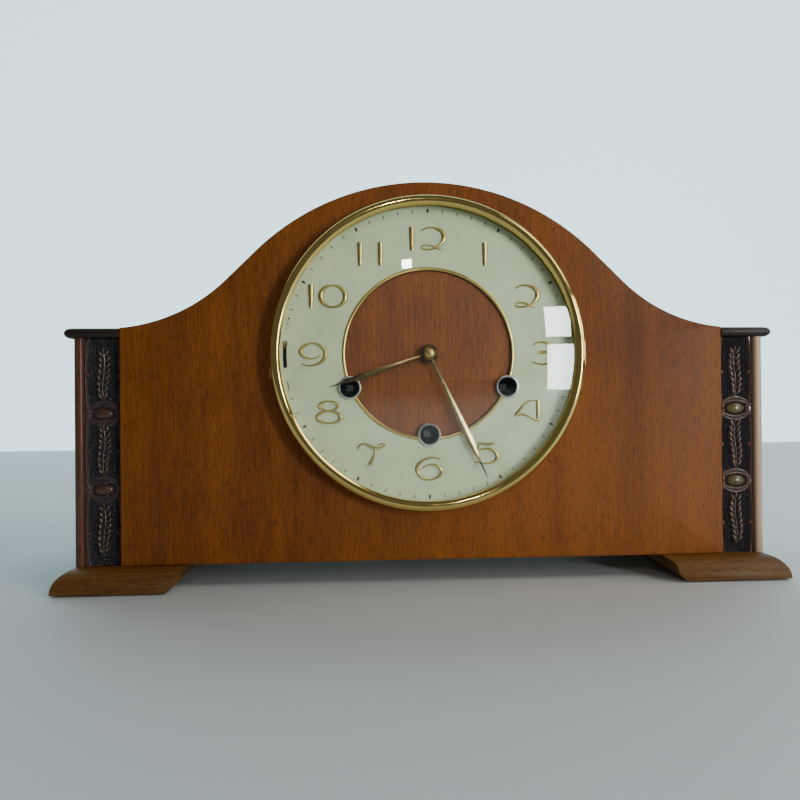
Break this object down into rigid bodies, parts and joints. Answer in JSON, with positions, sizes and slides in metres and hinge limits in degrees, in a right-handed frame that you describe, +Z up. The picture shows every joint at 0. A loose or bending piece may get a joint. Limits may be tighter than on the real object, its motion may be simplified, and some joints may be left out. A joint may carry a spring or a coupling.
{
  "type": "mantel clock",
  "caption": "Arched wooden chiming mantel clock with a glazed round dial, brass bezel, raised numerals, winding holes, carved corner strips and moulded feet.",
  "frame": {"origin": "on the table under the clock: midway between the tips of the feet and midway between the front of the glass and the back of the feet", "axes": "+Z up, the dial faces -Y, +X to the right of someone reading the dial; a positive turn about +Y is clockwise for the reader"},
  "size_m": [0.414, 0.159, 0.23],
  "materials": {
    "mahogany": "satin lacquer",
    "dark_wood": "dark satin lacquer",
    "foot_wood": "satin lacquer",
    "plywood": "bare, matte",
    "dial_veneer": "satin lacquer",
    "felt": "matte",
    "chapter_enamel": "matte pale cream",
    "gilt": "polished gilt",
    "bezel_brass": "polished",
    "movement_brass": "satin",
    "nickel": "bright",
    "steel": "satin",
    "iron": "rough",
    "clear_glass": "clear, polished"
  },
  "bodies": {
    "case": {"front_panel": "mahogany", "arch_top": "mahogany", "base_board": "plywood", "back_board": "plywood", "right_side_board": "dark_wood", "left_side_board": "dark_wood", "right_cap": "dark_wood", "left_cap": "dark_wood", "right_carved_strip": "dark_wood", "left_carved_strip": "dark_wood", "right_foot": "foot_wood", "left_foot": "foot_wood", "foot_pads": "felt", "dial_plate": "steel", "chapter_ring": "chapter_enamel", "chapter_ring_bead": "gilt", "dial_centre": "dial_veneer", "winding_grommets": "nickel", "bezel_seat_ring": "bezel_brass", "bezel_hinge_pin": "bezel_brass", "front_plate": "movement_brass", "back_plate": "movement_brass", "plate_pillars": "movement_brass", "movement_brackets": "steel", "suspension_cock": "movement_brass", "gong_block": "iron", "gong_rods": "steel", "case_hinge_leaves": "bezel_brass"},
    "bezel": {"bezel_ring": "bezel_brass", "dial_glass": "clear_glass"},
    "back_door": {"back_door": "plywood", "door_hinge_leaves": "bezel_brass", "door_knob": "bezel_brass"},
    "silent_lever": {"silent_lever": "movement_brass"},
    "minute_hand": {"minute_hand": "gilt", "hand_nut": "gilt", "cannon_pinion": "steel"},
    "hour_hand": {"hour_hand": "gilt", "hour_wheel": "movement_brass"},
    "minute_wheel": {"minute_wheel": "movement_brass"},
    "escape_wheel": {"escape_wheel": "movement_brass"},
    "third_wheel": {"third_wheel": "movement_brass"},
    "centre_wheel": {"centre_wheel": "movement_brass"},
    "second_wheel": {"second_wheel": "movement_brass"},
    "going_barrel": {"going_barrel": "movement_brass"},
    "strike_barrel": {"strike_barrel": "movement_brass"},
    "chime_barrel": {"chime_barrel": "movement_brass"},
    "chime_drum": {"chime_drum": "movement_brass"},
    "pendulum": {"pendulum": "movement_brass"},
    "pallets": {"pallets": "steel"},
    "strike_winding_arbor": {"strike_winding_arbor": "steel"},
    "strike_click": {"strike_click": "steel"},
    "going_winding_arbor": {"going_winding_arbor": "steel"},
    "going_click": {"going_click": "steel"},
    "chime_winding_arbor": {"chime_winding_arbor": "steel"},
    "chime_click": {"chime_click": "steel"},
    "chime_hammer_1": {"chime_hammer_1": "movement_brass"},
    "chime_hammer_2": {"chime_hammer_2": "movement_brass"},
    "chime_hammer_3": {"chime_hammer_3": "movement_brass"},
    "chime_hammer_4": {"chime_hammer_4": "movement_brass"}
  },
  "joints": [
    {"name": "bezel_hinge", "type": "hinge", "parent": "case", "child": "bezel", "pos_m": [0.0903, -0.064, 0.131], "axis": [0, 0, 1], "range_deg": [0, 110]},
    {"name": "back_door_hinge", "type": "hinge", "parent": "case", "child": "back_door", "pos_m": [-0.0855, 0.0696, 0.107], "axis": [0, 0, 1], "range_deg": [0, 100]},
    {"name": "silent_lever_turn", "type": "hinge", "parent": "case", "child": "silent_lever", "pos_m": [0, -0.0603, 0.131], "axis": [0, 1, 0], "range_deg": [-8.6, 0]},
    {"name": "minute_hand_turn", "type": "hinge", "parent": "case", "child": "minute_hand", "pos_m": [0, -0.069, 0.131], "axis": [0, 1, 0], "continuous": true},
    {"name": "hour_hand_turn", "type": "hinge", "parent": "case", "child": "hour_hand", "pos_m": [0, -0.067, 0.131], "axis": [0, 1, 0], "continuous": true},
    {"name": "minute_wheel_turn", "type": "hinge", "parent": "case", "child": "minute_wheel", "pos_m": [0.0072, -0.052, 0.14347], "axis": [0, 1, 0], "continuous": true},
    {"name": "escape_wheel_turn", "type": "hinge", "parent": "case", "child": "escape_wheel", "pos_m": [0, -0.0336, 0.15695], "axis": [0, 1, 0], "continuous": true},
    {"name": "third_wheel_turn", "type": "hinge", "parent": "case", "child": "third_wheel", "pos_m": [-0.01593, -0.038, 0.14437], "axis": [0, 1, 0], "continuous": true},
    {"name": "centre_wheel_turn", "type": "hinge", "parent": "case", "child": "centre_wheel", "pos_m": [0, -0.013, 0.131], "axis": [0, 1, 0], "continuous": true},
    {"name": "second_wheel_turn", "type": "hinge", "parent": "case", "child": "second_wheel", "pos_m": [-0.00712, -0.0164, 0.11124], "axis": [0, 1, 0], "continuous": true},
    {"name": "going_barrel_turn", "type": "hinge", "parent": "case", "child": "going_barrel", "pos_m": [0, -0.03, 0.0852], "axis": [0, 1, 0], "continuous": true},
    {"name": "strike_barrel_turn", "type": "hinge", "parent": "case", "child": "strike_barrel", "pos_m": [-0.04482, -0.03, 0.11207], "axis": [0, 1, 0], "continuous": true},
    {"name": "chime_barrel_turn", "type": "hinge", "parent": "case", "child": "chime_barrel", "pos_m": [0.04482, -0.03, 0.11207], "axis": [0, 1, 0], "continuous": true},
    {"name": "chime_drum_turn", "type": "hinge", "parent": "case", "child": "chime_drum", "pos_m": [0.03437, -0.025, 0.07762], "axis": [0, 1, 0], "continuous": true},
    {"name": "pendulum_swing", "type": "hinge", "parent": "case", "child": "pendulum", "pos_m": [0, 0.003, 0.17215], "axis": [0, 1, 0], "range_deg": [-3, 3]},
    {"name": "pallets_rock", "type": "hinge", "parent": "case", "child": "pallets", "pos_m": [0, -0.0336, 0.17215], "axis": [0, 1, 0], "range_deg": [-3, 3]},
    {"name": "strike_winding_turn", "type": "hinge", "parent": "case", "child": "strike_winding_arbor", "pos_m": [-0.04482, -0.05, 0.11207], "axis": [0, 1, 0], "continuous": true},
    {"name": "strike_click_lift", "type": "hinge", "parent": "case", "child": "strike_click", "pos_m": [-0.05742, -0.0487, 0.11665], "axis": [0, 1, 0], "range_deg": [0, 15], "stiffness_Nm_per_rad": 0.001, "springref_deg": -17.19},
    {"name": "going_winding_turn", "type": "hinge", "parent": "case", "child": "going_winding_arbor", "pos_m": [0, -0.05, 0.0852], "axis": [0, 1, 0], "continuous": true},
    {"name": "going_click_lift", "type": "hinge", "parent": "case", "child": "going_click", "pos_m": [0.0067, -0.0487, 0.0736], "axis": [0, 1, 0], "range_deg": [0, 15], "stiffness_Nm_per_rad": 0.001, "springref_deg": -17.19},
    {"name": "chime_winding_turn", "type": "hinge", "parent": "case", "child": "chime_winding_arbor", "pos_m": [0.04482, -0.05, 0.11207], "axis": [0, 1, 0], "continuous": true},
    {"name": "chime_click_lift", "type": "hinge", "parent": "case", "child": "chime_click", "pos_m": [0.05742, -0.0487, 0.11665], "axis": [0, 1, 0], "range_deg": [0, 15], "stiffness_Nm_per_rad": 0.001, "springref_deg": -17.19},
    {"name": "chime_hammer_1_lift", "type": "hinge", "parent": "case", "child": "chime_hammer_1", "pos_m": [0.062, -0.036, 0.072], "axis": [0, 1, 0], "range_deg": [-12, 0]},
    {"name": "chime_hammer_2_lift", "type": "hinge", "parent": "case", "child": "chime_hammer_2", "pos_m": [0.062, -0.029, 0.072], "axis": [0, 1, 0], "range_deg": [-12, 0]},
    {"name": "chime_hammer_3_lift", "type": "hinge", "parent": "case", "child": "chime_hammer_3", "pos_m": [0.062, -0.022, 0.072], "axis": [0, 1, 0], "range_deg": [-12, 0]},
    {"name": "chime_hammer_4_lift", "type": "hinge", "parent": "case", "child": "chime_hammer_4", "pos_m": [0.062, -0.015, 0.072], "axis": [0, 1, 0], "range_deg": [-12, 0]}
  ],
  "couplings": [
    {"joint": "hour_hand_turn", "follows": "minute_hand_turn", "ratio": 0.083333},
    {"joint": "minute_wheel_turn", "follows": "minute_hand_turn", "ratio": -0.33333},
    {"joint": "third_wheel_turn", "follows": "escape_wheel_turn", "ratio": -0.074074},
    {"joint": "centre_wheel_turn", "follows": "escape_wheel_turn", "ratio": 0.0061728},
    {"joint": "second_wheel_turn", "follows": "escape_wheel_turn", "ratio": -0.0010288},
    {"joint": "going_barrel_turn", "follows": "escape_wheel_turn", "ratio": 0.0001286},
    {"joint": "chime_drum_turn", "follows": "chime_barrel_turn", "ratio": -2},
    {"joint": "pallets_rock", "follows": "pendulum_swing", "ratio": 1}
  ]
}
